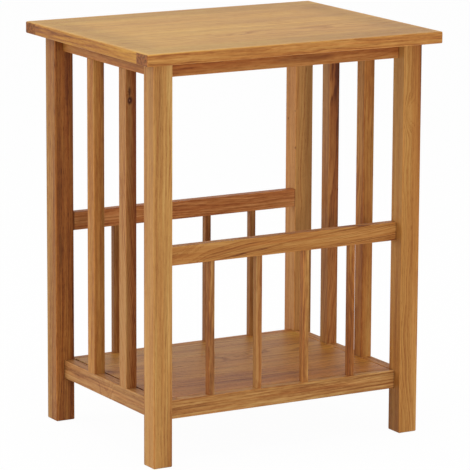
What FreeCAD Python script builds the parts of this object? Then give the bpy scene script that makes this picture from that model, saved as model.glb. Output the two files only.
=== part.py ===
import FreeCAD, Part
import os
import Sketcher

# Oak magazine table with a rack: a framed top on four square legs, a shelf inside the lower rails,
# slatted sides, and a front and a back rack of thin spindles under a rail at half height.
# Frame: +Z up, +X along the width, front towards -Y, origin on the floor under the table's centre.
# All sizes are in millimetres.

SIZES = {
    # outer sizes
    "table_width": 450,
    "table_depth": 350,
    "table_height": 555,
    # top
    "top_thickness": 16,
    "top_overhang": 20,
    "strip_width": 30,
    "top_round": 2,
    # legs
    "leg_size": 28,
    "leg_round": 1.5,
    "foot_bevel": 1,
    # side aprons, side rails and slats share one thickness, so that they lie flush
    "board_thickness": 16,
    "apron_height": 21,
    "slat_width": 20,
    "slat_count": 2,
    # front and back: rack rails, the aprons over them, the lower rails under them, and the spindles between
    "rack_thickness": 14,
    "rack_rail_height": 25,
    "rack_level": 293,
    "spindle_size": 9,
    "spindle_round": 0.8,
    "spindle_count": 4,
    # lower rails and shelf
    "lower_rail_height": 25,
    "shelf_level": 86,
    "shelf_thickness": 12,
    "shelf_side_gap": 2,
    "rail_round": 1,
    # tenons and tongues
    "tenon_thickness": 6,
    "tenon_length": 12,
    "tenon_shoulder": 3,
    "stub_length": 6,
    "slat_stub_width": 12,
    "slat_stub_thickness": 5,
    "spindle_stub_size": 5,
    "tongue_thickness": 5,
    "tongue_length": 3,
    "groove_stop": 12,
    # screws that hold the top
    "screw_diameter": 4,
    "screw_head_diameter": 8,
    "screw_head_height": 3,
    "screw_recess": 4,
    "screw_bite": 10,
    "screw_setback": 40,
    # room in the joints: beside a tenon or tongue, past its end, and in a seam of the panels
    "fit_clearance": 0.15,
    "end_clearance": 0.5,
    "seam_gap": 0.2,
}

# Quarter turns about Z that carry a piece made for the front to the other sides.
FRONT = 0
RIGHT = 90
BACK = 180
LEFT = 270

# Largest distance, in millimetres, at which an edge still counts as lying on a face.
TOUCH = 1e-6

# Lengths that follow from the driving sizes.
LEG_HEIGHT = "(dim.table_height - dim.top_thickness)"
FRAME_WIDTH = "(dim.table_width - 2 * dim.top_overhang)"
FRAME_DEPTH = "(dim.table_depth - 2 * dim.top_overhang)"
WIDE_SPAN = f"({FRAME_WIDTH} - 2 * dim.leg_size)"
DEEP_SPAN = f"({FRAME_DEPTH} - 2 * dim.leg_size)"
APRON_LEVEL = f"({LEG_HEIGHT} - dim.apron_height)"
LOWER_LEVEL = "(dim.shelf_level - dim.lower_rail_height)"
RACK_BOTTOM = "(dim.rack_level - dim.rack_rail_height)"
SLAT_LENGTH = f"({APRON_LEVEL} - dim.shelf_level)"
SPINDLE_LENGTH = f"({RACK_BOTTOM} - dim.shelf_level)"
SLAT_PITCH = f"(({DEEP_SPAN} + dim.slat_width) / (dim.slat_count + 1))"
SPINDLE_PITCH = f"(({WIDE_SPAN} + dim.spindle_size) / (dim.spindle_count + 1))"
TONGUE_BOTTOM_TOP = "((dim.top_thickness - dim.tongue_thickness) / 2)"
TONGUE_BOTTOM_SHELF = "((dim.shelf_thickness - dim.tongue_thickness) / 2)"
GROOVE_DEPTH = "(dim.tongue_length + dim.end_clearance)"
GROOVE_HEIGHT = "(dim.tongue_thickness + 2 * dim.fit_clearance)"
SCREW_REACH = f"({WIDE_SPAN} / 2 - dim.screw_setback)"
# Two tenons that meet in one leg share its height: the lower one and the one above it.
APRON_TENON = "((dim.apron_height - 3 * dim.tenon_shoulder) / 2)"
LOWER_TENON = "((dim.lower_rail_height - 3 * dim.tenon_shoulder) / 2)"
RACK_TENON = "(dim.rack_rail_height - 2 * dim.tenon_shoulder)"
UPPER_APRON_TENON = f"(2 * dim.tenon_shoulder + {APRON_TENON})"
UPPER_LOWER_TENON = f"(2 * dim.tenon_shoulder + {LOWER_TENON})"

# The two kinds of upright: the section, the length between the rails and the stub tenons of one piece,
# the thickness of its rails, and how many stand in a row at which pitch.
SLAT = {
    "width": "dim.slat_width",
    "thickness": "dim.board_thickness",
    "round": "dim.rail_round",
    "length": SLAT_LENGTH,
    "stub_width": "dim.slat_stub_width",
    "stub_thickness": "dim.slat_stub_thickness",
    "rail": "dim.board_thickness",
    "count": "slat_count",
    "pitch": SLAT_PITCH,
}
SPINDLE = {
    "width": "dim.spindle_size",
    "thickness": "dim.spindle_size",
    "round": "dim.spindle_round",
    "length": SPINDLE_LENGTH,
    "stub_width": "dim.spindle_stub_size",
    "stub_thickness": "dim.spindle_stub_size",
    "rail": "dim.rack_thickness",
    "count": "spindle_count",
    "pitch": SPINDLE_PITCH,
}

doc = FreeCAD.newDocument("magazine_table")
sheet = doc.addObject("Spreadsheet::Sheet", "dim")
for row, (alias, value) in enumerate(SIZES.items(), start=1):
    sheet.set(f"A{row}", alias)
    sheet.set(f"B{row}", str(value))
    sheet.setAlias(f"B{row}", alias)
doc.recompute()


def new_body(label):
    body = doc.addObject("PartDesign::Body", label)
    body.Label = label
    return body


def place(piece, x, y, z, turn=FRONT):
    """Puts a piece at formulas for x, y and z, turned about the vertical."""
    piece.Placement = FreeCAD.Placement(FreeCAD.Vector(), FreeCAD.Rotation(FreeCAD.Vector(0, 0, 1), turn))
    for axis, formula in zip("xyz", (x, y, z)):
        piece.setExpression(f"Placement.Base.{axis}", formula)


def place_on_side(piece, side, width, depth, along, level):
    """Puts a piece on one side of a width by depth rectangle, with its local Y axis pointing inwards."""
    spots = {
        FRONT: (f"{along}", f"-{depth} / 2"),
        BACK: (f"-({along})", f"{depth} / 2"),
        LEFT: (f"-{width} / 2", f"-({along})"),
        RIGHT: (f"{width} / 2", f"{along}"),
    }
    x, y = spots[side]
    place(piece, x, y, level, side)


def new_sketch(body, name, plane, offset="0"):
    """Makes a sketch on an origin plane of the body, moved along the plane's normal."""
    sketch = body.newObject("Sketcher::SketchObject", f"{body.Label}_{name}")
    support = [part for part in body.Origin.OriginFeatures if part.Role == plane]
    sketch.AttachmentSupport = [(support[0], "")]
    sketch.MapMode = "FlatFace"
    sketch.setExpression("AttachmentOffset.Base.z", offset)
    return sketch


def bind(sketch, constraint, formula):
    index = sketch.addConstraint(constraint)
    sketch.setExpression(f"Constraints[{index}]", formula)


def add_rectangle(sketch, left, bottom, width, height):
    """Draws a rectangle from its lower left corner, with all four sizes as formulas."""
    corners = [FreeCAD.Vector(x, y, 0) for x, y in ((0, 0), (1, 0), (1, 1), (0, 1))]
    ends = corners[1:] + corners[:1]
    lines = [sketch.addGeometry(Part.LineSegment(*pair)) for pair in zip(corners, ends)]
    for line, following in zip(lines, lines[1:] + lines[:1]):
        sketch.addConstraint(Sketcher.Constraint("Coincident", line, 2, following, 1))
    for line, kind in zip(lines, ("Horizontal", "Vertical", "Horizontal", "Vertical")):
        sketch.addConstraint(Sketcher.Constraint(kind, line))
    bind(sketch, Sketcher.Constraint("DistanceX", lines[0], 1, 0.0), left)
    bind(sketch, Sketcher.Constraint("DistanceY", lines[0], 1, 0.0), bottom)
    bind(sketch, Sketcher.Constraint("DistanceX", lines[0], 1, lines[0], 2, 1.0), width)
    bind(sketch, Sketcher.Constraint("DistanceY", lines[1], 1, lines[1], 2, 1.0), height)


def add_circle(sketch, x, y, diameter):
    """Draws a circle at formulas for its centre and diameter."""
    circle = sketch.addGeometry(Part.Circle(FreeCAD.Vector(), FreeCAD.Vector(0, 0, 1), 1.0))
    bind(sketch, Sketcher.Constraint("DistanceX", circle, 3, 0.0), x)
    bind(sketch, Sketcher.Constraint("DistanceY", circle, 3, 0.0), y)
    bind(sketch, Sketcher.Constraint("Diameter", circle, 2.0), diameter)


def extrude(body, kind, sketch, length, symmetric=False, reverse=False):
    """Adds a Pad or a Pocket of a sketch, and stops if a Pocket takes nothing away."""
    before = body.Shape.Volume if kind == "Pocket" else 0
    feature = body.newObject(f"PartDesign::{kind}", f"{sketch.Name}_{kind.lower()}")
    feature.Profile = sketch
    feature.setExpression("Length", length)
    feature.SideType = "Symmetric" if symmetric else "One side"
    feature.Reversed = reverse
    doc.recompute()
    if kind == "Pocket" and body.Shape.Volume >= before:
        raise RuntimeError(f"{feature.Name} cuts nothing")
    return feature


def round_edges(body, kind, wanted, amount):
    """Rounds or bevels the edges of the body that a test picks."""
    base = body.Tip
    names = [f"Edge{i}" for i, edge in enumerate(base.Shape.Edges, start=1) if wanted(edge)]
    feature = body.newObject(f"PartDesign::{kind}", f"{body.Label}_{kind.lower()}")
    feature.Base = (base, names)
    feature.setExpression("Radius" if kind == "Fillet" else "Size", amount)
    doc.recompute()


def runs_along(axis):
    """Test for straight edges that run along an axis."""
    direction = FreeCAD.Vector(*axis)

    def wanted(edge):
        return edge.tangentAt(edge.FirstParameter).cross(direction).Length < TOUCH

    return wanted


def repeat_along_x(body, pocket, pitch, count):
    """Repeats a pocket along the body's X axis."""
    pattern = body.newObject("PartDesign::LinearPattern", f"{pocket.Name}_pattern")
    pattern.Originals = [pocket]
    axis = [part for part in body.Origin.OriginFeatures if part.Role == "X_Axis"]
    pattern.Direction = (axis[0], [""])
    pattern.setExpression("Length", f"{pitch} * ({count} - 1)")
    pattern.setExpression("Occurrences", count)
    body.Tip = pattern
    doc.recompute()


# Rails. A rail lies along local X, its outer face at y = 0 and its underside at z = 0.

def make_rail(label, span, thickness, height, tenon_bottom, tenon_height):
    """Rounded bar between two legs, with a tenon at both ends."""
    body = new_body(label)
    section = new_sketch(body, "section", "YZ_Plane")
    add_rectangle(section, "0", "0", thickness, height)
    extrude(body, "Pad", section, span, symmetric=True)
    round_edges(body, "Fillet", runs_along((1, 0, 0)), "dim.rail_round")
    tenon = new_sketch(body, "tenon", "YZ_Plane")
    side = f"({thickness} - dim.tenon_thickness) / 2"
    add_rectangle(tenon, side, tenon_bottom, "dim.tenon_thickness", tenon_height)
    extrude(body, "Pad", tenon, f"{span} + 2 * dim.tenon_length", symmetric=True)
    return body


def rail_thickness(side):
    """Front and back rails share one thickness, the rails of the two ends another."""
    return "dim.rack_thickness" if side in (FRONT, BACK) else "dim.board_thickness"


def row_spot(upright, number):
    """Formula for the place along its row of one of the uprights, which stand evenly about the middle."""
    return f"{upright['pitch']} * ({number} - (dim.{upright['count']} - 1) / 2)"


def add_rectangle_in_rail(sketch, centre, width, thickness, rail):
    """Draws a rectangle about a place along the rail, in the middle of the rail's thickness."""
    add_rectangle(sketch, f"{centre} - {width} / 2", f"({rail} - {thickness}) / 2", width, thickness)


def cut_stub_mortises(body, upright, height, from_below):
    """Mortises for a row of slats or spindles, in the rail's upper face or in its underside."""
    mortises = new_sketch(body, "stub_mortises", "XY_Plane", "0" if from_below else height)
    width = f"({upright['stub_width']} + 2 * dim.fit_clearance)"
    thickness = f"({upright['stub_thickness']} + 2 * dim.fit_clearance)"
    add_rectangle_in_rail(mortises, row_spot(upright, 0), width, thickness, upright["rail"])
    depth = "dim.stub_length + dim.end_clearance"
    pocket = extrude(body, "Pocket", mortises, depth, reverse=from_below)
    repeat_along_x(body, pocket, upright["pitch"], f"dim.{upright['count']}")


def cut_shelf_groove(body, span, thickness):
    """Groove in the inner face of a lower rail for the shelf's tongue."""
    groove = new_sketch(body, "shelf_groove", "YZ_Plane")
    bottom = f"dim.lower_rail_height - dim.shelf_thickness + {TONGUE_BOTTOM_SHELF} - dim.fit_clearance"
    add_rectangle(groove, f"{thickness} - {GROOVE_DEPTH}", bottom, GROOVE_DEPTH, GROOVE_HEIGHT)
    extrude(body, "Pocket", groove, span, symmetric=True)


def cut_screw_holes(body, spots, thickness):
    """Stepped holes through an apron, at formulas for x, for the screws that hold the top."""
    steps = {
        "screw_hole": ("dim.screw_diameter", "dim.apron_height"),
        "screw_recess": ("dim.screw_head_diameter", "dim.screw_recess"),
    }
    for name, (diameter, depth) in steps.items():
        holes = new_sketch(body, name, "XY_Plane")
        for x in spots:
            add_circle(holes, x, f"{thickness} / 2", f"{diameter} + 2 * dim.fit_clearance")
        extrude(body, "Pocket", holes, depth, reverse=True)


def make_apron(label, side):
    along_width = side in (FRONT, BACK)
    span = WIDE_SPAN if along_width else DEEP_SPAN
    thickness = rail_thickness(side)
    tenon_bottom = "dim.tenon_shoulder" if along_width else UPPER_APRON_TENON
    body = make_rail(label, span, thickness, "dim.apron_height", tenon_bottom, APRON_TENON)
    cut_screw_holes(body, [f"-{SCREW_REACH}", SCREW_REACH] if along_width else ["0"], thickness)
    if not along_width:
        cut_stub_mortises(body, SLAT, "dim.apron_height", from_below=True)
    place_inside_legs(body, side, thickness, APRON_LEVEL)
    return body


def make_rack_rail(label, side):
    height = "dim.rack_rail_height"
    thickness = rail_thickness(side)
    body = make_rail(label, WIDE_SPAN, thickness, height, "dim.tenon_shoulder", RACK_TENON)
    cut_stub_mortises(body, SPINDLE, height, from_below=True)
    place_inside_legs(body, side, thickness, RACK_BOTTOM)
    return body


def make_lower_rail(label, side):
    along_width = side in (FRONT, BACK)
    span = WIDE_SPAN if along_width else DEEP_SPAN
    thickness = rail_thickness(side)
    height = "dim.lower_rail_height"
    tenon_bottom = "dim.tenon_shoulder" if along_width else UPPER_LOWER_TENON
    body = make_rail(label, span, thickness, height, tenon_bottom, LOWER_TENON)
    cut_shelf_groove(body, span, thickness)
    cut_stub_mortises(body, SPINDLE if along_width else SLAT, height, from_below=False)
    place_inside_legs(body, side, thickness, LOWER_LEVEL)
    return body


def place_inside_legs(body, side, thickness, level, along="0"):
    """Puts a rail, slat or spindle with its inner face flush with the legs' inner faces."""
    width = f"({WIDE_SPAN} + 2 * {thickness})"
    depth = f"({DEEP_SPAN} + 2 * {thickness})"
    place_on_side(body, side, width, depth, along, level)


# Legs. A leg stands on the floor with its outer corner at the local origin and its two inner faces
# towards +X and +Y, where the rails' tenons enter.

def rail_tenons(side):
    """Level and height of each tenon that a leg takes from the rails of one side."""
    if side in (FRONT, BACK):
        return [
            (f"{APRON_LEVEL} + dim.tenon_shoulder", APRON_TENON),
            (f"{RACK_BOTTOM} + dim.tenon_shoulder", RACK_TENON),
            (f"{LOWER_LEVEL} + dim.tenon_shoulder", LOWER_TENON),
        ]
    return [
        (f"{APRON_LEVEL} + {UPPER_APRON_TENON}", APRON_TENON),
        (f"{LOWER_LEVEL} + {UPPER_LOWER_TENON}", LOWER_TENON),
    ]


def cut_leg_mortises(body, name, plane, outward, side):
    """Mortises in one inner face of a leg, for the rails of one side of the table."""
    mortises = new_sketch(body, name, plane, f"{outward}dim.leg_size")
    width = "(dim.tenon_thickness + 2 * dim.fit_clearance)"
    left = f"dim.leg_size - ({rail_thickness(side)} + {width}) / 2"
    for level, height in rail_tenons(side):
        add_rectangle(mortises, left, f"{level} - dim.fit_clearance", width,
                      f"{height} + 2 * dim.fit_clearance")
    depth = "dim.tenon_length + dim.end_clearance"
    extrude(body, "Pocket", mortises, depth, reverse=outward == "-")


def make_leg(label, turn, x_side, y_side):
    """Square leg whose +X face takes the rails of one side and whose +Y face those of the other."""
    body = new_body(label)
    section = new_sketch(body, "section", "XY_Plane")
    add_rectangle(section, "0", "0", "dim.leg_size", "dim.leg_size")
    extrude(body, "Pad", section, LEG_HEIGHT)
    round_edges(body, "Fillet", runs_along((0, 0, 1)), "dim.leg_round")
    round_edges(body, "Chamfer", lambda edge: edge.BoundBox.ZMax < TOUCH, "dim.foot_bevel")
    cut_leg_mortises(body, "x_mortises", "YZ_Plane", "", x_side)
    cut_leg_mortises(body, "y_mortises", "XZ_Plane", "-", y_side)
    x_sign = "-" if turn in (FRONT, LEFT) else ""
    y_sign = "-" if turn in (FRONT, RIGHT) else ""
    place(body, f"{x_sign}{FRAME_WIDTH} / 2", f"{y_sign}{FRAME_DEPTH} / 2", "0", turn)
    return body


# Slats and spindles stand between two rails, from the shelf's level up.

def make_upright(label, side, upright, number):
    """Rounded bar in the middle of the rails' thickness, with a stub tenon at both ends."""
    body = new_body(label)
    section = new_sketch(body, "section", "XY_Plane")
    add_rectangle_in_rail(section, "0", upright["width"], upright["thickness"], upright["rail"])
    extrude(body, "Pad", section, upright["length"])
    round_edges(body, "Fillet", runs_along((0, 0, 1)), upright["round"])
    stub = new_sketch(body, "stub", "XY_Plane", "-dim.stub_length")
    add_rectangle_in_rail(stub, "0", upright["stub_width"], upright["stub_thickness"], upright["rail"])
    extrude(body, "Pad", stub, f"{upright['length']} + 2 * dim.stub_length")
    place_inside_legs(body, side, upright["rail"], "dim.shelf_level", row_spot(upright, number))
    return body


# Panels lie with their underside at z = 0, centred on the table.

def make_panel(label, width, depth, thickness, tongue_bottom, side_gap, level):
    """Board that fills a width by depth opening, with a tongue that reaches into the pieces round it."""
    body = new_body(label)
    board = new_sketch(body, "board", "XY_Plane")
    board_width = f"({width} - 2 * {side_gap})"
    board_depth = f"({depth} - 2 * dim.seam_gap)"
    add_rectangle(board, f"-{board_width} / 2", f"-{board_depth} / 2", board_width, board_depth)
    extrude(body, "Pad", board, thickness)
    # the tongue stops short of the corners, where the pieces round the panel meet
    for name, tongue_width, tongue_depth in (
        ("end_tongue", f"({width} + 2 * dim.tongue_length)", f"({board_depth} - 2 * dim.tongue_length)"),
        ("side_tongue", f"({board_width} - 2 * dim.tongue_length)", f"({depth} + 2 * dim.tongue_length)"),
    ):
        tongue = new_sketch(body, name, "XY_Plane", tongue_bottom)
        add_rectangle(tongue, f"-{tongue_width} / 2", f"-{tongue_depth} / 2", tongue_width, tongue_depth)
        extrude(body, "Pad", tongue, "dim.tongue_thickness")
    place(body, "0", "0", level)
    return body


def make_top_panel():
    width = "(dim.table_width - 2 * dim.strip_width)"
    depth = "(dim.table_depth - 2 * dim.strip_width)"
    body = make_panel("top_panel", width, depth, "dim.top_thickness", TONGUE_BOTTOM_TOP, "dim.seam_gap",
                      LEG_HEIGHT)
    holes = new_sketch(body, "screw_holes", "XY_Plane")
    for x, y in screw_spots():
        add_circle(holes, x, y, "dim.screw_diameter + 2 * dim.fit_clearance")
    extrude(body, "Pocket", holes, "dim.screw_bite + dim.end_clearance", reverse=True)
    return body


def make_shelf_panel():
    level = "dim.shelf_level - dim.shelf_thickness"
    return make_panel("shelf_panel", WIDE_SPAN, DEEP_SPAN, "dim.shelf_thickness", TONGUE_BOTTOM_SHELF,
                      "dim.shelf_side_gap", level)


# Edge strips of the top. A strip lies along local X, its outer edge at y = 0 and its underside at z = 0.

def on_show(edge):
    """Test for the edges of a strip that show on the finished top."""
    return edge.BoundBox.YMin < TOUCH


def on_long_arris(edge):
    """Test for the two long edges of a strip's outer face."""
    return edge.BoundBox.YMax < TOUCH and edge.BoundBox.ZLength < TOUCH


def make_strip(label, side):
    """Edge strip with a groove for the panel; front and back strips run out to the table's corners."""
    runs_out = side in (FRONT, BACK)
    length = "dim.table_width" if runs_out else "(dim.table_depth - 2 * dim.strip_width)"
    body = new_body(label)
    section = new_sketch(body, "section", "YZ_Plane")
    add_rectangle(section, "0", "0", "dim.strip_width", "dim.top_thickness")
    extrude(body, "Pad", section, length, symmetric=True)
    if runs_out:
        round_edges(body, "Fillet", on_show, "dim.top_round")
    else:
        round_edges(body, "Fillet", on_long_arris, "dim.top_round")
        end_tongue = new_sketch(body, "end_tongue", "YZ_Plane")
        near = "(dim.groove_stop + dim.fit_clearance)"
        tongue_width = f"dim.strip_width - {near}"
        add_rectangle(end_tongue, near, TONGUE_BOTTOM_TOP, tongue_width, "dim.tongue_thickness")
        extrude(body, "Pad", end_tongue, f"{length} + 2 * dim.tongue_length", symmetric=True)
    groove = new_sketch(body, "groove", "YZ_Plane")
    add_rectangle(groove, f"dim.strip_width - {GROOVE_DEPTH}", f"{TONGUE_BOTTOM_TOP} - dim.fit_clearance",
                  GROOVE_DEPTH, GROOVE_HEIGHT)
    cut = f"{length} - 2 * dim.groove_stop" if runs_out else f"{length} + 2 * dim.tongue_length"
    extrude(body, "Pocket", groove, cut, symmetric=True)
    place_on_side(body, side, "dim.table_width", "dim.table_depth", "0", LEG_HEIGHT)
    return body


# Screws. Two go up through each long apron and one through each short one, with their heads in the
# recess of its underside.

def screw_spots():
    """Formulas for x and y of every screw."""
    apron_x = f"({WIDE_SPAN} + {rail_thickness(RIGHT)}) / 2"
    apron_y = f"({DEEP_SPAN} + {rail_thickness(FRONT)}) / 2"
    front_and_back = [(f"{x}{SCREW_REACH}", f"{y}{apron_y}") for x in ("-", "") for y in ("-", "")]
    left_and_right = [(f"{x}{apron_x}", "0") for x in ("-", "")]
    return front_and_back + left_and_right


def make_screws():
    """Group of separate screws, each a flat round head and a plain shank."""
    head_level = f"({APRON_LEVEL} + dim.screw_recess)"
    screws = []
    for number, (x, y) in enumerate(screw_spots(), start=1):
        head = doc.addObject("Part::Cylinder", f"screw_{number}_head")
        head.setExpression("Radius", "dim.screw_head_diameter / 2")
        head.setExpression("Height", "dim.screw_head_height")
        place(head, x, y, f"{head_level} - dim.screw_head_height")
        shank = doc.addObject("Part::Cylinder", f"screw_{number}_shank")
        shank.setExpression("Radius", "dim.screw_diameter / 2")
        shank.setExpression("Height", "dim.apron_height - dim.screw_recess + dim.screw_bite")
        place(shank, x, y, head_level)
        screw = doc.addObject("Part::Fuse", f"screw_{number}")
        screw.Base = head
        screw.Tool = shank
        screws.append(screw)
    group = doc.addObject("Part::Compound", "top_screws")
    group.Label = "top_screws"
    group.Links = screws
    return group


pieces = [make_top_panel(), make_shelf_panel()]
for name, side in (("front", FRONT), ("back", BACK), ("left", LEFT), ("right", RIGHT)):
    pieces.append(make_strip(f"top_{name}_strip", side))
    pieces.append(make_apron(f"{name}_apron", side))
    pieces.append(make_lower_rail(f"{name}_lower_rail", side))

pieces.append(make_leg("leg_front_left", FRONT, FRONT, LEFT))
pieces.append(make_leg("leg_front_right", RIGHT, RIGHT, FRONT))
pieces.append(make_leg("leg_back_right", BACK, BACK, RIGHT))
pieces.append(make_leg("leg_back_left", LEFT, LEFT, BACK))

for name, side in (("front", FRONT), ("back", BACK)):
    pieces.append(make_rack_rail(f"{name}_rack_rail", side))

for names, upright, sides in (
    ("spindle", SPINDLE, (("front", FRONT), ("back", BACK))),
    ("slat", SLAT, (("left", LEFT), ("right", RIGHT))),
):
    for name, side in sides:
        for number in range(int(sheet.get(upright["count"]))):
            pieces.append(make_upright(f"{name}_{names}_{number + 1}", side, upright, number))

pieces.append(make_screws())
doc.recompute()

for item in doc.Objects:
    if "Invalid" in item.State or "Error" in item.State:
        raise RuntimeError(f"{item.Label} failed: {item.State}")
for piece in pieces:
    if piece.Shape.isNull() or not piece.Shape.isValid():
        raise RuntimeError(f"{piece.Label} has no valid shape")

os.makedirs("parts", exist_ok=True)
for piece in pieces:
    piece.Shape.exportStep(f"parts/{piece.Label}.step")
    print(f"{piece.Label}: {len(piece.Shape.Solids)} solid, {piece.Shape.Volume / 1000:.2f} cm3")
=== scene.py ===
import math
from types import SimpleNamespace
import bpy
import numpy as np
from mathutils import Matrix, Vector


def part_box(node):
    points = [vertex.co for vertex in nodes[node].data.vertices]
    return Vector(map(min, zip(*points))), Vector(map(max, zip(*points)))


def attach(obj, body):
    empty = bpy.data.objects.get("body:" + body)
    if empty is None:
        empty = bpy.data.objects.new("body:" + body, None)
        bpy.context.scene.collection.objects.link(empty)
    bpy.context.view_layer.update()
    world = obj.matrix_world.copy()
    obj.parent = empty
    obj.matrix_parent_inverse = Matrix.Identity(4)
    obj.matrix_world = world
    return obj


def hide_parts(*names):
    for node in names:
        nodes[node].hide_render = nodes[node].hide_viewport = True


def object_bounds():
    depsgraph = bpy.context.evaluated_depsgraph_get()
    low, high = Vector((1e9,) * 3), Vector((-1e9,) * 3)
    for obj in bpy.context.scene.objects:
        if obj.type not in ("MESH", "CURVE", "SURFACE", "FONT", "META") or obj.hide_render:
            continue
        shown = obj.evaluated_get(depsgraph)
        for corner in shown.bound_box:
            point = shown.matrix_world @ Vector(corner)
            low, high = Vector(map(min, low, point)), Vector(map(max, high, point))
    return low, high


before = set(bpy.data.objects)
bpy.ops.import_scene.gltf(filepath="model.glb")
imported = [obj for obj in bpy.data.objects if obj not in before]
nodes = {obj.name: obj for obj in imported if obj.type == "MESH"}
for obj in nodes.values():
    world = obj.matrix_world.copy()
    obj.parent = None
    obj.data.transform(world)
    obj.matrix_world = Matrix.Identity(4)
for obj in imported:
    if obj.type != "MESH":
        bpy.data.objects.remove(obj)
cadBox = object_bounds()
print("frame loaded:", len(nodes), "nodes")

perMetre = 1000                                 # millimetres in a metre
halfway = 0.5                                   # middle of a noise, which runs from 0 to 1
alongX, alongY, alongZ = 0, 1, 2

# shader maths on sockets

class Wire:                                     # one socket of a node tree
    def __init__(self, tree, socket=None):
        self.tree = tree
        self.socket = socket

    def node(self, kind, settings, values, output=0):
        made = self.tree.nodes.new("ShaderNode" + kind)
        for name, value in settings.items():
            if name == "stops":                 # a ramp's stops: place and colour
                ramp = made.color_ramp.elements
                while len(ramp) < len(value):
                    ramp.new(halfway)
                for element, (place, colour) in zip(ramp, value):
                    element.position = place
                    element.color = colour
            else:
                setattr(made, name, value)
        for name, value in values.items():
            if isinstance(value, Wire):
                self.tree.links.new(value.socket, made.inputs[name])
            else:
                made.inputs[name].default_value = value
        return Wire(self.tree, made.outputs[output] if made.outputs else None)

    def split(self):                            # the three parts of a vector
        made = self.node("SeparateXYZ", {}, {"Vector": self}).socket.node
        return [Wire(self.tree, part) for part in made.outputs]

    def math(self, operation, *values):
        return self.node("Math", {"operation": operation}, dict(enumerate(values)))

    def fold(self, operation, values):          # one operation over several values
        result = values[0]
        for value in values[1:]:
            result = self.math(operation, result, value)
        return result

    def length(self, *parts):                   # of the vector that has these parts
        return self.math("SQRT", self.fold("ADD", [part * part for part in parts]))

    def __add__(self, other):
        return self.math("ADD", self, other)

    def __radd__(self, other):
        return self.math("ADD", other, self)

    def __sub__(self, other):
        return self.math("SUBTRACT", self, other)

    def __rsub__(self, other):
        return self.math("SUBTRACT", other, self)

    def __mul__(self, other):
        return self.math("MULTIPLY", self, other)

    def __rmul__(self, other):
        return self.math("MULTIPLY", other, self)

    def __truediv__(self, other):
        return self.math("DIVIDE", self, other)

    def __rtruediv__(self, other):
        return self.math("DIVIDE", other, self)

    def ramp(self, low, high, atLow=0.0, atHigh=1.0):       # smooth step between two values
        values = {"Value": self, "From Min": low, "From Max": high, "To Min": atLow, "To Max": atHigh}
        return self.node("MapRange", {"interpolation_type": "SMOOTHSTEP", "clamp": True}, values)

    def mix(self, first, second):               # colour mix by this value
        factor, colourA, colourB, colourOut = 0, 6, 7, 2    # the node's sockets for colours
        return self.node("Mix", {"data_type": "RGBA", "clamp_factor": True},
                         {factor: self, colourA: first, colourB: second}, colourOut)

    def tinted(self, tint):                     # colour times colour
        return self.node("VectorMath", {"operation": "MULTIPLY"}, {0: self, 1: tint})


def newMaterial(name):
    material = bpy.data.materials.new(name)
    material.use_nodes = True
    tree = material.node_tree
    tree.nodes.clear()
    return material, Wire(tree)


def srgb(red, green, blue):                     # screen colour, 0 to 255, as the light it stands for
    level = np.array([red, green, blue]) / 255
    light = np.where(level > 0.04045, ((level + 0.055) / 1.055) ** 2.4, level / 12.92)
    return (*light.tolist(), 1.0)


def grey(level):
    return (level, level, level, 1.0)


# Oak. Growth rings are cylinders about a pith line that leans along the board, so a face gets arches,
# straight lines or end grain as it cuts them. Lengths are in millimetres from the board's centre.
# Two numbers for a ramp are where it starts and ends, and two more are its values there.

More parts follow.
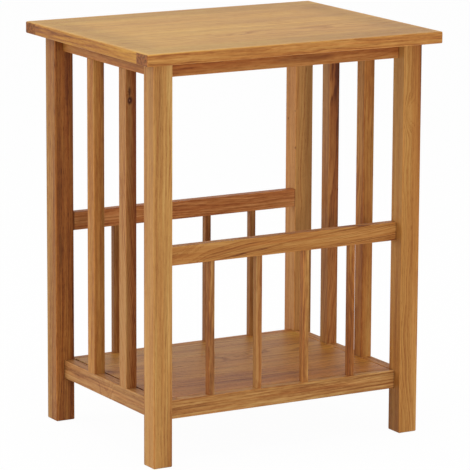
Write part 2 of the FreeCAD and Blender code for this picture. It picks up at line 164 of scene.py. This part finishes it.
oakFinish = {
    "colours": [(0.0, srgb(104, 54, 22)),       # pores and the open wood that starts a ring
                (0.36, srgb(158, 96, 42)),
                (0.66, srgb(188, 128, 62)),
                (1.0, srgb(212, 158, 88))],     # close wood that ends a ring
    "hue": (0.12, -0.30, -0.50),                # streaks lean to red or to yellow
    "roughness": 0.52, "coatRoughness": 0.42,
    "roughPores": 0.16, "roughFibre": 0.14, "roughEnd": 0.12, "polish": 0.3,    # polish: on a worn arris
    "bumpStrength": 0.22, "bumpDistance": 0.0006, "bumpFibre": 0.35, "bumpPores": 0.8, "bumpRings": 0.25,
    "log": 300,                                 # boards are cut from places up to this far along each axis

    # noises: steps per millimetre across and along the grain, detail, roughness
    "noise": {
        "sway": (0.011, 0.0045, 2.0, 0.5),      # slow bends of the rings
        "curl": (0.10, 0.016, 2.0, 0.55),       # small waves of the rings
        "fibre": (0.42, 0.015, 3.0, 0.68),
        "streak": (0.20, 0.0042, 3.0, 0.6),
        "blotch": (0.030, 0.0032, 2.0, 0.5),
        "dapple": (0.28, 0.055, 2.0, 0.6),      # short patches where the fibres dip
        "pores": (2.4, 0.10, 1.0, 0.5),
        "flecks": (0.8, 0.30, 1.0, 0.5),
        "mottle": (0.26, 0.26, 2.0, 0.6),       # end grain
    },
    "rings": {                                  # one ring from its open wood to its close wood
        "stops": [(0.0, grey(0.0)), (0.10, grey(1.0)), (0.32, grey(0.62)), (0.70, grey(0.12)),
                  (1.0, grey(0.0))],
        "mean": 0.3,
        "fade": (0.30, 0.62, 0.25, 1.0),        # ramp: rings show more in some places
        "yearScale": 0.13, "yearDetail": 2.0, "yearRoughness": 0.6, "yearSpread": 4.0,      # uneven years
    },
    "poreRing": 0.16, "pores": (0.64, 0.76),    # more pores in the open wood
    "flecks": (0.60, 0.74), "fleckLight": 0.05,
    "endGrain": (0.55, 0.9),                    # ramp by how squarely a face cuts the grain
    "endTone": (0.60, 0.50, 0.50),              # end grain drinks more of the oil
    "endMottle": (0.3, 0.7, 0.62, 1.30),
    "arrisStart": 0.2, "arrisFray": 1.6,
    "shoulder": (0.3, 1.9, 0.5, 1.0),           # ramp of the painted shade in the gap where a rail meets a leg
    "covered": (0.45, 0.75),                    # ramp by how far a face with veneer looks up

    "knotRim": srgb(70, 20, 10), "knotHeart": srgb(206, 150, 112), "knotCover": 0.92,
    "knot": {                                   # what a knot has where its own row says nothing else
        "dark": 0.0, "heart": 0.0, "long": 1.0,             # without dark wood it only bends the rings
        "flat": 0.6, "slim": 0.7, "fray": 0.8,
        "bulge": 1.6, "bulgeEnd": 3.5,                      # times its size, as are the next four
        "rimStart": 0.65, "rimEnd": 1.7, "heartStart": 0.08, "heartEnd": 0.40,
    },
}


def layOut(wire, name, board, finish):          # a board's own axes, and where in the log it is cut
    low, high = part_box(name)
    cut = SimpleNamespace(centre=(low + high) / 2 * perMetre, half=(high - low) / 2 * perMetre)
    cut.axes = [axis for axis in (alongX, alongY, alongZ) if axis != board["grain"]] + [board["grain"]]
    cut.place = wire.node("TexCoord", {}, {}, "Object")
    placed = wire.node("Mapping", {}, {"Vector": cut.place, "Location": -cut.centre,
                                       "Scale": (perMetre,) * 3})
    cut.parts = placed.split()
    cut.across, cut.through, cut.along = [cut.parts[axis] for axis in cut.axes]
    cut.shift = np.random.default_rng(board["seed"]).uniform(-finish["log"], finish["log"], 3)
    return cut


def grainNoise(wire, cut, row, output="Fac"):   # noise drawn out along the grain
    crossScale, alongScale, detail, roughness = row
    point = wire.node("CombineXYZ", {}, {"X": cut.across * crossScale + cut.shift[0],
                                         "Y": cut.through * crossScale + cut.shift[1],
                                         "Z": cut.along * alongScale + cut.shift[2]})
    values = {"Vector": point, "Scale": 1.0, "Detail": detail, "Roughness": roughness}
    return wire.node("TexNoise", {}, values, output)


def pithDistance(wire, cut, board, sway, curl):             # from a pith line that leans, bends and waves
    parts = []
    crossing = zip((cut.across, cut.through), board["pith"], board["lean"], sway, curl)
    for place, pith, lean, slow, quick in crossing:
        bend = (slow - halfway) * board["sway"] + (quick - halfway) * board["curl"]
        parts.append(place - pith - cut.along * lean + bend)
    return wire.length(*parts)


def knotDistance(wire, cut, knot, ragged):      # from the knot's middle, drawn out along the grain
    spot = [knot["spot"][axis] * perMetre - cut.centre[axis] for axis in cut.axes]
    across = cut.across - spot[0]
    through = (cut.through - spot[1]) * knot["flat"]
    along = (cut.along - spot[2]) * (knot["slim"] / knot["long"])
    return wire.length(across, through, along) + ragged * knot["size"]


def growthRings(wire, cut, board, rings, radius):           # 1 in the open wood, 0 where the ring ends
    years = wire.node("TexNoise", {"noise_dimensions": "1D"},
                      {"W": radius * rings["yearScale"] + cut.shift[0], "Scale": 1.0,
                       "Detail": rings["yearDetail"], "Roughness": rings["yearRoughness"]})
    phase = wire.math("FRACT", radius / board["ring"] + years * rings["yearSpread"])
    early = wire.node("ValToRGB", {"stops": rings["stops"]}, {"Fac": phase})
    return wire.math("POWER", early, board["band"])         # a higher band draws thinner lines


def oakCut(wire, name, board, finish):
    cut = layOut(wire, name, board, finish)
    rings = finish["rings"]

    def grain(kind, output="Fac"):
        return grainNoise(wire, cut, finish["noise"][kind], output)

    swayU, swayV, fade = grain("sway", "Color").split()
    curlU, curlV, fray = grain("curl", "Color").split()
    fray = fray - halfway
    fibre = grain("fibre") - halfway
    radius = pithDistance(wire, cut, board, (swayU, swayV), (curlU, curlV))

    rims, hearts = [], []
    for own in board.get("knots", ()):          # rings bulge round a knot, dark at its rim, pale at heart
        knot = {**finish["knot"], **own}
        size = knot["size"]
        reach = knotDistance(wire, cut, knot, fray * knot["fray"] + fibre)
        radius = radius + reach.ramp(0.0, size * knot["bulgeEnd"], size * knot["bulge"], 0.0)
        rims.append(reach.ramp(size * knot["rimStart"], size * knot["rimEnd"], knot["dark"], 0.0))
        hearts.append(reach.ramp(size * knot["heartStart"], size * knot["heartEnd"], knot["heart"], 0.0))

    early = growthRings(wire, cut, board, rings, radius)
    streak, hue = [part - halfway for part in grain("streak", "Color").split()[:2]]
    blotch = grain("blotch") - halfway
    dapple = grain("dapple") - halfway
    pores = (grain("pores") + early * finish["poreRing"]).ramp(*finish["pores"])
    flecks = grain("flecks").ramp(*finish["flecks"])

    normal = wire.node("TexCoord", {}, {}, "Normal").split()
    endGrain = wire.math("ABSOLUTE", normal[board["grain"]]).ramp(*finish["endGrain"])

    gaps = [half - wire.math("ABSOLUTE", part) for half, part in zip(cut.half, cut.parts)]
    toArris = wire.fold("ADD", gaps) - wire.fold("MINIMUM", gaps) - wire.fold("MAXIMUM", gaps)
    arris = (toArris + fray * finish["arrisFray"]).ramp(finish["arrisStart"], board["arris"], 1.0, 0.0)

    # one value runs from the darkest wood to the palest, and a ramp gives it the oak's colours
    halfAcross, halfThrough, halfAlong = [cut.half[axis] for axis in cut.axes]
    turned = cut.across / halfAcross
    heartAndShadeU, heartAndShadeV = board["heart"]             # heartwood on one side is darker; on some boards this also paints shade on a face in shadow and light on a lit one
    sapAndShade = turned * heartAndShadeU + cut.through * (heartAndShadeV / halfThrough)
    # slope and twist change the tone towards one end; on some boards they paint shade on the upper part,
    # under the top
    slope = cut.along / halfAlong * (turned * board["twist"] + board["slope"]) + sapAndShade
    ringDepth = board["figure"] * fade.ramp(*rings["fade"])
    value = (board["light"] + slope + blotch * board["blotch"] + streak * board["streak"]
             + fibre * board["fibre"] + dapple * board["dapple"] - (early - rings["mean"]) * ringDepth
             - pores * board["pores"] + flecks * finish["fleckLight"])
    colour = wire.node("ValToRGB", {"stops": finish["colours"]}, {"Fac": value})
    mottle = grain("mottle").ramp(*finish["endMottle"])
    endTone = wire.node("VectorMath", {"operation": "SCALE"}, {0: finish["endTone"], "Scale": mottle})
    colour = endGrain.mix(colour, colour.tinted(endTone))
    if rims:
        colour = (wire.fold("MAXIMUM", rims) * finish["knotCover"]).mix(colour, finish["knotRim"])
        colour = wire.fold("MAXIMUM", hearts).mix(colour, finish["knotHeart"])

    shade = arris * board["wornAndHighlight"] + 1.0         # paler along the arris: partly rubbed wear, partly painted highlight
    # painted shade in the gap at each shoulder, where a rail meets a leg
    if "shoulder" in board:
        gap = board["shoulder"] - wire.math("ABSOLUTE", cut.along)
        shade = shade * gap.ramp(*finish["shoulder"])
    coat = board["coat"]
    if "edge" in board:                         # painted highlight along the rim, then darker and with less varnish
        edge = board["edge"]
        spot = cut.place.split()
        sides = [cadBox[1][axis] - wire.math("ABSOLUTE", spot[axis]) for axis in (alongX, alongY)]
        toSide = wire.fold("MINIMUM", sides) * perMetre
        dull = wire.math("ABSOLUTE", toSide - edge["inset"]).ramp(0.0, edge["reach"], edge["dark"], 1.0)
        shade = shade * dull * toSide.ramp(*edge["rim"], edge["rimHighlight"], 1.0)
        coat = dull * coat
    lean = hue * board["hue"] - sapAndShade             # the lighter side leans to yellow: sapwood, and on some boards painted light
    tint = [shade * (lean * (level * turn) + level) for level, turn in zip(board["tone"], finish["hue"])]
    colour = colour.tinted(wire.node("CombineXYZ", {}, dict(zip("XYZ", tint))))

    height = fibre * finish["bumpFibre"] - pores * finish["bumpPores"] - early * finish["bumpRings"]
    rough = (finish["roughness"] + pores * finish["roughPores"] + fibre * finish["roughFibre"]
             + endGrain * finish["roughEnd"] - arris * (board["wornAndHighlight"] * finish["polish"]))
    return colour, rough, height, coat


def oakMaterial(name, board, finish):
    material, wire = newMaterial("oak_" + name)
    colour, rough, height, coat = oakCut(wire, name, board, finish)
    if "sheet" in board:                        # a veneer covers the upper face
        sheet = oakCut(wire, board["sheet"], board["veneer"], finish)
        sheetColour, sheetRough, sheetHeight, sheetCoat = sheet
        covered = wire.node("TexCoord", {}, {}, "Normal").split()[alongZ].ramp(*finish["covered"])
        colour = covered.mix(colour, sheetColour)
        rough = rough + (sheetRough - rough) * covered
        height = height + (sheetHeight - height) * covered
        coat = covered * sheetCoat
    bump = wire.node("Bump", {}, {"Strength": finish["bumpStrength"], "Distance": finish["bumpDistance"],
                                  "Height": height})
    surface = wire.node("BsdfPrincipled", {}, {"Base Color": colour, "Roughness": rough, "Normal": bump,
                                               "Specular IOR Level": board["gloss"], "Coat Weight": coat,
                                               "Coat Roughness": finish["coatRoughness"]})
    wire.node("OutputMaterial", {}, {"Surface": surface})
    return material


def dress(group, finish=oakFinish):             # each board of a group gets its own cut of oak
    for number, (name, own) in enumerate(group["boards"].items()):
        board = {**group["common"], **own, "seed": group["seed"] + number}
        nodes[name].data.materials.clear()
        nodes[name].data.materials.append(oakMaterial(name, board, finish))
    print("oak on", ", ".join(group["boards"]))


# The boards. A pith is on the two axes across the grain, in the order x, y, z. A knot's spot is in metres.

plain = {                                       # what a board has where its own row says nothing else
    "lean": (0.0, 0.0), "sway": 16.0, "curl": 3.0, "ring": 3.8, "band": 1.0, "figure": 0.24,
    "light": 0.62, "slope": 0.0, "twist": 0.0, "heart": (0.0, 0.0), "hue": 1.0,
    "blotch": 0.45, "streak": 0.85, "fibre": 0.45, "dapple": 0.3, "pores": 0.18,
    # a paler arris is partly wear and partly painted highlight
    "arris": 1.8, "wornAndHighlight": 0.16, "gloss": 0.20, "coat": 0.0,
}

legs = {
    "seed": 100,
    # the legs' paler arrises are partly wear and partly painted highlight
    "common": {**plain, "grain": alongZ, "fibre": 0.32, "dapple": 0.18, "wornAndHighlight": 0.24},
    "boards": {
        # the front left leg's twist darkens the top of its left face and lightens the top of its front:
        # painted shade and painted light
        "leg_front_left": {"pith": (-70, 60), "lean": (0.02, 0.01), "tone": (1.08, 1.23, 1.47),
                           "slope": 0.08, "twist": 0.15, "figure": 0.18},
        # the front right leg's heart and twist lighten its inner left face, most at the top: painted light
        "leg_front_right": {"pith": (-50, 60), "lean": (0.0, 0.01), "tone": (0.96, 0.95, 0.93),
                            "slope": -0.07, "twist": -0.28, "ring": 2.6, "figure": 0.34,
                            "heart": (-0.09, 0.0), "streak": 0.5, "hue": 0.5,
                            "knots": [{"spot": (0.1757, -0.155, 0.183), "size": 0.9, "dark": 0.7},
                                      {"spot": (0.187, -0.155, 0.443), "size": 4.0, "long": 1.8}]},
        # the back left leg's heart setting darkens its front face: painted shade
        "leg_back_left": {"pith": (-50, -40), "lean": (0.0, 0.02), "tone": (0.77, 0.74, 0.71),
                          "slope": -0.04, "figure": 0.34, "heart": (-0.06, 0.18),
                          "streak": 1.2, "pores": 0.34, "dapple": 0.4,
                          "knots": [
                              {"spot": (-0.1975, 0.127, 0.24), "size": 1.6, "dark": 0.5, "long": 9.0},
                              {"spot": (-0.188, 0.127, 0.465), "size": 1.1, "dark": 0.35, "long": 12.0}]},
        "leg_back_right": {"pith": (40, 70), "tone": (1.03, 1.10, 1.33),
                           "streak": 0.35, "figure": 0.14, "heart": (0.02, -0.05),
                           "knots": [{"spot": (0.177, 0.1474, 0.3925), "size": 1.0, "dark": 0.6},
                                     {"spot": (0.177, 0.129, 0.4058), "size": 0.8, "dark": 0.5},
                                     {"spot": (0.177, 0.128, 0.3529), "size": 0.9, "dark": 0.6}]},
    },
}
dress(legs)

slats = {
    "seed": 200,
    "common": {**plain, "grain": alongZ, "ring": 3.0, "arris": 1.2, "blotch": 0.85, "fibre": 0.6,
               "dapple": 0.45, "hue": 1.5},
    "boards": {
        "left_slat_1": {"pith": (-40, 30), "lean": (0.03, 0.0), "tone": (0.97, 0.96, 0.93),
                        "slope": -0.10, "streak": 1.1},
        # this slat's heart setting darkens its front face and lightens its left face: painted shade and
        # painted light
        "left_slat_2": {"pith": (110, -70), "lean": (-0.12, 0.0), "tone": (0.79, 0.66, 0.67),
                        "slope": -0.16, "dapple": 0.7, "streak": 1.2, "figure": 0.40, "heart": (-0.25, 0.0),
                        "knots": [
                            {"spot": (-0.187, -0.0557, 0.476), "size": 3.0, "dark": 1.0, "heart": 0.8},
                            {"spot": (-0.1874, -0.0557, 0.4881), "size": 1.5, "dark": 0.8, "long": 2.2}]},
        "right_slat_1": {"pith": (50, 20), "tone": (0.92, 0.90, 0.84), "twist": -0.12, "streak": 0.6},
        "right_slat_2": {"pith": (-20, 45), "lean": (0.12, 0.0), "tone": (0.77, 0.72, 0.76),
                         "slope": -0.30, "twist": -0.34, "figure": 0.4, "heart": (-0.12, 0.12)},
    },
}
dress(slats)

spindles = {
    "seed": 300,
    "common": {**plain, "grain": alongZ, "ring": 2.6, "arris": 0.9, "blotch": 0.8, "fibre": 0.9,
               "figure": 0.34, "dapple": 0.45, "hue": 1.5},
    "boards": {
        "front_spindle_1": {"pith": (11, 39), "heart": (0.10, 0.0), "tone": (0.92, 0.96, 1.17)},
        "front_spindle_2": {"pith": (-3, 48), "heart": (-0.10, 0.0), "tone": (0.77, 0.71, 0.77)},
        "front_spindle_3": {"pith": (-17, 57), "heart": (0.10, 0.0), "tone": (1.11, 1.20, 1.39)},
        "front_spindle_4": {"pith": (-31, 66), "heart": (0.08, 0.0), "tone": (0.84, 0.76, 0.72)},
        "back_spindle_1": {"pith": (12, -36), "tone": (0.60, 0.55, 0.55)},
        "back_spindle_2": {"pith": (-8, -52), "tone": (0.62, 0.56, 0.56)},
        "back_spindle_3": {"pith": (24, -40), "tone": (0.66, 0.60, 0.58)},
        "back_spindle_4": {"pith": (-26, -60), "tone": (0.58, 0.52, 0.50)},
    },
}
dress(spindles)

longRails = {                                   # shoulder: from the middle of a rail to the leg's face
    "seed": 400,
    "common": {**plain, "grain": alongX, "fibre": 1.15, "dapple": 0.6,
               "shoulder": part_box("leg_front_right")[0].x * perMetre},
    "boards": {
        # the front apron's heart setting darkens its upper part: painted shade under the top's overhang
        "front_apron": {"pith": (40, -20), "heart": (0.0, -0.26), "tone": (0.81, 0.63, 0.56),
                        "knots": [
                            {"spot": (0.032, -0.141, 0.5285), "size": 2.2, "dark": 0.35, "long": 12.0}]},
        "back_apron": {"pith": (-40, 25), "tone": (0.98, 0.94, 0.92)},
        "front_rack_rail": {"pith": (12, -55), "lean": (0.0, 0.10), "tone": (0.90, 0.86, 0.85),
                            "slope": -0.06, "ring": 13.0, "band": 1.6, "figure": 0.70,
                            "fibre": 0.7, "dapple": 0.3,
                            "knots": [{"spot": (-0.172, -0.141, 0.301), "size": 13.0}]},
        "back_rack_rail": {"pith": (30, 30), "tone": (0.95, 0.81, 0.95), "slope": -0.08},
        "front_lower_rail": {"pith": (16, -60), "lean": (0.0, 0.03), "tone": (0.94, 1.00, 1.20),
                             "ring": 3.0, "sway": 10.0, "figure": 0.48},
        "back_lower_rail": {"pith": (-30, -45), "tone": (1.00, 0.98, 0.96)},
    },
}
dress(longRails)

sideRails = {
    "seed": 500,
    "common": {**plain, "grain": alongY, "fibre": 0.85, "dapple": 0.5,
               "shoulder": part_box("leg_back_left")[0].y * perMetre},
    "boards": {
        # the left apron's heart setting darkens its upper part: painted shade under the top's overhang
        "left_apron": {"pith": (40, 15), "heart": (0.0, -0.05), "tone": (0.82, 0.70, 0.57)},
        "right_apron": {"pith": (-45, 20), "tone": (1.00, 0.96, 0.94)},
        "left_lower_rail": {"pith": (24, -10), "lean": (0.04, 0.03), "tone": (0.90, 0.96, 1.25),
                            "figure": 0.22,
                            "knots": [{"spot": (-0.193, 0.002, 0.072), "size": 5.0}]},
        "right_lower_rail": {"pith": (-30, 10), "tone": (0.98, 0.98, 1.00)},
    },
}
dress(sideRails)

veneer = {                                      # one grain over the panel and the upper faces of the strips
    **plain, "seed": 600, "grain": alongX, "pith": (-60, -95), "tone": (1.06, 1.28, 1.02),
    "ring": 4.2, "sway": 24.0, "figure": 0.16, "slope": -0.04, "hue": 0.5,
    "blotch": 0.5, "streak": 0.22, "fibre": 0.5, "dapple": 0.26,
    "wornAndHighlight": 0.0, "gloss": 0.26, "coat": 0.11,
    "edge": {                                   # millimetres from the top's sides
        "rim": (2.7, 9.0), "rimHighlight": 1.22,        # ramp of the painted highlight along the rim
        "inset": 25.0, "reach": 50.0, "dark": 0.82,         # middle and half width of the dull band
    },
}
strip = {"sheet": "top_panel", "veneer": veneer}
top = {
    "seed": 600,
    # the strips' paler arrises are partly wear and partly painted highlight
    "common": {**plain, "grain": alongX, "arris": 1.6, "wornAndHighlight": 0.30, "gloss": 0.26,
               "fibre": 1.2, "dapple": 0.5},
    "boards": {
        "top_panel": veneer,
        "top_front_strip": {**strip, "pith": (50, -30), "tone": (1.02, 0.98, 0.91),
                            "figure": 0.34, "streak": 0.5, "blotch": 0.3},
        "top_back_strip": {**strip, "pith": (-60, 20), "tone": (0.85, 0.76, 0.35)},
        "top_left_strip": {**strip, "grain": alongY, "pith": (40, 25), "tone": (0.89, 0.83, 0.35),
                           "slope": -0.20, "streak": 0.5, "hue": 0.6},
        "top_right_strip": {**strip, "grain": alongY, "pith": (-30, 40), "tone": (0.92, 0.95, 0.60)},
    },
}
dress(top)

shelf = {
    "seed": 700,
    "common": {**plain, "grain": alongX, "arris": 0.6, "wornAndHighlight": 0.0, "coat": 0.18},
    "boards": {
        # the shelf's heart setting darkens its front and lightens its back: painted shade and painted light
        "shelf_panel": {"pith": (40, -70), "tone": (1.03, 1.01, 0.68), "heart": (0.12, 0.0),
                        "ring": 4.0, "sway": 40.0, "band": 1.8, "figure": 0.24, "pores": 0.40,
                        "streak": 0.40, "blotch": 0.8, "fibre": 0.6, "dapple": 0.3},
    },
}
dress(shelf)

# Screws that hold the top. One profile goes from the middle of the head out over its dome and rim, then up
# the shank to the tip, and is turned about the screw's axis.

screws = {                                      # millimetres
    "reach": 137.0,                             # from the table's middle to the screws in the long aprons
    "head": 4.0, "neck": 2.8, "seat": 3.0,      # radii of head and neck, level of the head's flat side
    "dome": 2.0, "domePower": 2.4, "domeRows": 36,
    "crest": 1.98, "core": 1.35, "pitch": 1.6, "crestPower": 3,
    "runIn": 3.0,                               # length over which the thread rises from the neck
    "tip": 5.0, "tipPower": 0.8, "shankStep": 0.25,
    "crossLength": 2.3, "crossWidth": 0.42, "crossDepth": 1.5, "crossSlope": 0.4, "crossSoft": 0.3,
    "turn": 2.4,                                # radians that each screw stops after the one before it
    "steps": 64,                                # round the axis
    "bright": (0.62, 0.62, 0.64, 1.0), "dull": (0.36, 0.35, 0.34, 1.0), "cloud": (0.35, 0.68),
    "cloudScale": 0.7, "cloudDetail": 3.0, "cloudRoughness": 0.6, "speckScale": 5.0, "speckDetail": 1.0,
    "roughness": 0.2, "roughCloud": 0.3, "bumpStrength": 0.15, "bumpDistance": 0.0001,
}


def screwPlaces(row):
    middle = {side: (sum(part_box(side + "_apron"), Vector()) / 2) * perMetre
              for side in ("front", "back", "left", "right")}
    reach = row["reach"]
    return np.array([(-reach, middle["front"].y), (reach, middle["front"].y),
                     (-reach, middle["back"].y), (reach, middle["back"].y),
                     (middle["left"].x, 0), (middle["right"].x, 0)])


def screwProfile(row, length):
    # The dome rises by one less the root of one less a power of the radius. The shank narrows by a power of
    # the length that is left to the tip, and so does the crest, which also grows from nothing at the seat.
    domeRadius = np.linspace(0.0, row["head"], row["domeRows"] + 1)[1:]
    domeLevel = row["dome"] * (1 - np.sqrt(1 - (domeRadius / row["head"]) ** row["domePower"]))
    flatRadius = [row["head"], row["neck"]]
    shankLevel = np.arange(row["seat"], length, row["shankStep"])[:-1]
    taper = np.clip((length - shankLevel) / row["tip"], 0, 1) ** row["tipPower"]
    radius = np.concatenate([domeRadius, flatRadius, row["core"] * taper])
    level = np.concatenate([domeLevel, [row["seat"]] * len(flatRadius), shankLevel])
    plainRows = len(domeRadius) + len(flatRadius)
    crest = np.concatenate([np.zeros(plainRows), (row["crest"] - row["core"]) * taper])
    crest = crest * np.clip((level - row["seat"]) / row["runIn"], 0, 1)
    onDome = np.arange(len(radius)) < len(domeRadius)
    return radius, level, crest, onDome


def screwRings(row, places, length):
    # On the shank the radius rises to a crest once in every pitch, and the crest climbs one pitch in a turn.
    # The dome sinks where a point is inside one of two crossed bars, and sinks less towards their ends.
    profile, rowLevel, crest, onDome = [part[None, :, None] for part in screwProfile(row, length)]
    angle = np.arange(row["steps"]) * (2 * np.pi / row["steps"])
    spin = angle - np.arange(len(places))[:, None, None] * row["turn"]
    thread = (0.5 + 0.5 * np.cos(2 * np.pi * rowLevel / row["pitch"] - spin)) ** row["crestPower"]
    radius = profile + crest * thread
    armU = np.abs(radius * np.cos(spin))
    armV = np.abs(radius * np.sin(spin))
    cross = np.minimum(np.maximum(armU - row["crossLength"], armV - row["crossWidth"]),
                       np.maximum(armV - row["crossLength"], armU - row["crossWidth"]))
    inside = np.clip(0.5 - cross / row["crossSoft"], 0, 1)
    pressed = inside * row["crossDepth"] * (1 - row["crossSlope"] * radius / row["crossLength"])
    level = rowLevel + np.where(onDome, pressed, 0)
    return np.stack([places[:, 0, None, None] + radius * np.cos(angle),
                     places[:, 1, None, None] + radius * np.sin(angle), level], -1)


def screwFaces(rows, steps):                    # quads between the rings, and a fan at each end
    ring, around = np.meshgrid(np.arange(rows - 1), np.arange(steps), indexing="ij")
    beside = (around + 1) % steps
    quads = np.stack([ring * steps + around, ring * steps + beside,
                      (ring + 1) * steps + beside, (ring + 1) * steps + around], -1).reshape(-1, 4)
    first = np.arange(steps)
    last = first + (rows - 1) * steps
    bottom = rows * steps                       # the poles come after the rings
    tip = bottom + 1
    fans = np.concatenate([np.column_stack([np.full(steps, bottom), np.roll(first, -1), first]),
                           np.column_stack([np.full(steps, tip), last, np.roll(last, -1)])])
    return quads, fans


def makeScrews(row):
    low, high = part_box("top_screws")
    base = np.array([0, 0, low.z * perMetre])
    length = (high.z - low.z) * perMetre
    places = screwPlaces(row)
    count = len(places)
    rings = screwRings(row, places, length)
    poleLevels = (row["crossDepth"], length)
    poles = [np.column_stack([places, np.full(count, level)])[:, None] for level in poleLevels]
    points = np.concatenate([rings.reshape(count, -1, 3), *poles], 1) + base

    quads, fans = screwFaces(rings.shape[1], row["steps"])
    offsets = np.arange(count)[:, None, None] * points.shape[1]
    faces = (quads + offsets).reshape(-1, 4).tolist() + (fans + offsets).reshape(-1, 3).tolist()
    mesh = bpy.data.meshes.new("screws")
    mesh.from_pydata((points.reshape(-1, 3) / perMetre).tolist(), [], faces)
    mesh.shade_smooth()
    piece = bpy.data.objects.new("screws", mesh)
    bpy.context.scene.collection.objects.link(piece)
    return piece


def steelMaterial(row):                         # zinc plate, cloudy and a little rough
    material, wire = newMaterial("screw_steel")
    place = wire.node("TexCoord", {}, {}, "Object")
    spot = wire.node("Mapping", {}, {"Vector": place, "Scale": (perMetre,) * 3})
    cloud = wire.node("TexNoise", {}, {"Vector": spot, "Scale": row["cloudScale"],
                                       "Detail": row["cloudDetail"], "Roughness": row["cloudRoughness"]})
    speck = wire.node("TexNoise", {}, {"Vector": spot, "Scale": row["speckScale"],
                                       "Detail": row["speckDetail"]})
    colour = cloud.ramp(*row["cloud"]).mix(row["bright"], row["dull"])
    bump = wire.node("Bump", {}, {"Strength": row["bumpStrength"], "Distance": row["bumpDistance"],
                                  "Height": speck})
    surface = wire.node("BsdfPrincipled", {}, {"Base Color": colour, "Metallic": 1.0, "Normal": bump,
                                               "Roughness": cloud * row["roughCloud"] + row["roughness"]})
    wire.node("OutputMaterial", {}, {"Surface": surface})
    return material


screwPiece = makeScrews(screws)
screwPiece.data.materials.append(steelMaterial(screws))
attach(screwPiece, "root")
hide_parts("top_screws")
print("screws cut:", len(screwPiece.data.polygons), "faces")

# camera, floor and light

view = {
    "place": (-2.24569, -3.92049, 1.20022),
    "yaw": 29.8645, "pitch": -11.67, "roll": 0.28,          # degrees; yaw 0 looks along +Y
    "focal": 3371.39, "frame": 470,                         # pixels
    "sensor": 36.0,                                         # millimetres
}
yaw, pitch, roll = (math.radians(view[turn]) for turn in ("yaw", "pitch", "roll"))
ahead = Vector((math.sin(yaw) * math.cos(pitch), math.cos(yaw) * math.cos(pitch), math.sin(pitch)))
right = Vector((math.cos(yaw), -math.sin(yaw), 0))
up = right.cross(ahead)
cameraX = right * math.cos(roll) + up * math.sin(roll)
cameraY = up * math.cos(roll) - right * math.sin(roll)
cameraData = bpy.data.cameras.new("camera")
cameraData.sensor_width = view["sensor"]
cameraData.lens = view["focal"] * view["sensor"] / view["frame"]
camera = bpy.data.objects.new("camera", cameraData)
facing = Matrix((cameraX, cameraY, -ahead)).transposed().to_4x4()
camera.matrix_world = Matrix.Translation(view["place"]) @ facing
bpy.context.scene.collection.objects.link(camera)
bpy.context.scene.camera = camera

studio = {
    "floorSize": 30.0, "floorGap": 0.0002,
    "white": grey(1.0), "paper": grey(0.72), "glowShare": 0.97,         # paper: as the table sees the floor
    "worldLight": 0.52,
    "target": (0, 0, 0.28),
    "keyPlace": (-3.2, 2.0, 1.4), "keySize": 3.4, "keyPower": 68.0,     # broad, from the left and behind
    "frontPlace": (-0.72, -4.1, 0.95), "frontSize": 0.8, "frontPower": 44.0,        # small, low in front
    "topPlace": (0.0, -0.2, 2.5), "topSize": 1.8, "topPower": 17.5,
}


def seenStraight(wire):                         # 1 for what the camera sees, in metal and glass too
    kinds = ("Is Camera Ray", "Is Glossy Ray", "Is Transmission Ray")
    return wire.fold("MAXIMUM", [wire.node("LightPath", {}, {}, kind) for kind in kinds])


size, under = studio["floorSize"], -studio["floorGap"]
corners = [(-size, -size, under), (size, -size, under), (size, size, under), (-size, size, under)]
floorMesh = bpy.data.meshes.new("floor")
floorMesh.from_pydata(corners, [], [(0, 1, 2, 3)])
floor = bpy.data.objects.new("floor", floorMesh)
bpy.context.scene.collection.objects.link(floor)
floorMaterial, wire = newMaterial("pale_floor")
straight = seenStraight(wire)
glow = wire.node("Emission", {}, {"Color": studio["white"], "Strength": 1.0})
paper = wire.node("BsdfDiffuse", {}, {"Color": straight.mix(studio["paper"], studio["white"])})
shown = wire.node("MixShader", {}, {0: straight * studio["glowShare"], 1: paper, 2: glow})
wire.node("OutputMaterial", {}, {"Surface": shown})
floorMesh.materials.append(floorMaterial)

world = bpy.data.worlds.new("studio")
bpy.context.scene.world = world
world.use_nodes = True
world.node_tree.nodes.clear()
wire = Wire(world.node_tree)
level = seenStraight(wire) * (1 - studio["worldLight"]) + studio["worldLight"]
backdrop = wire.node("Background", {}, {"Color": studio["white"], "Strength": level})
wire.node("OutputWorld", {}, {"Surface": backdrop})

target = Vector(studio["target"])
for name in ("key", "front", "top"):
    lamp = bpy.data.lights.new(name, "AREA")
    lamp.shape = "DISK"
    lamp.size = studio[name + "Size"]
    lamp.energy = studio[name + "Power"]
    lampObject = bpy.data.objects.new(name, lamp)
    place = Vector(studio[name + "Place"])
    aim = (target - place).to_track_quat("-Z", "Y").to_matrix().to_4x4()
    lampObject.matrix_world = Matrix.Translation(place) @ aim
    bpy.context.scene.collection.objects.link(lampObject)
bpy.context.scene.view_settings.view_transform = "Standard"
print("camera, floor and lights set")
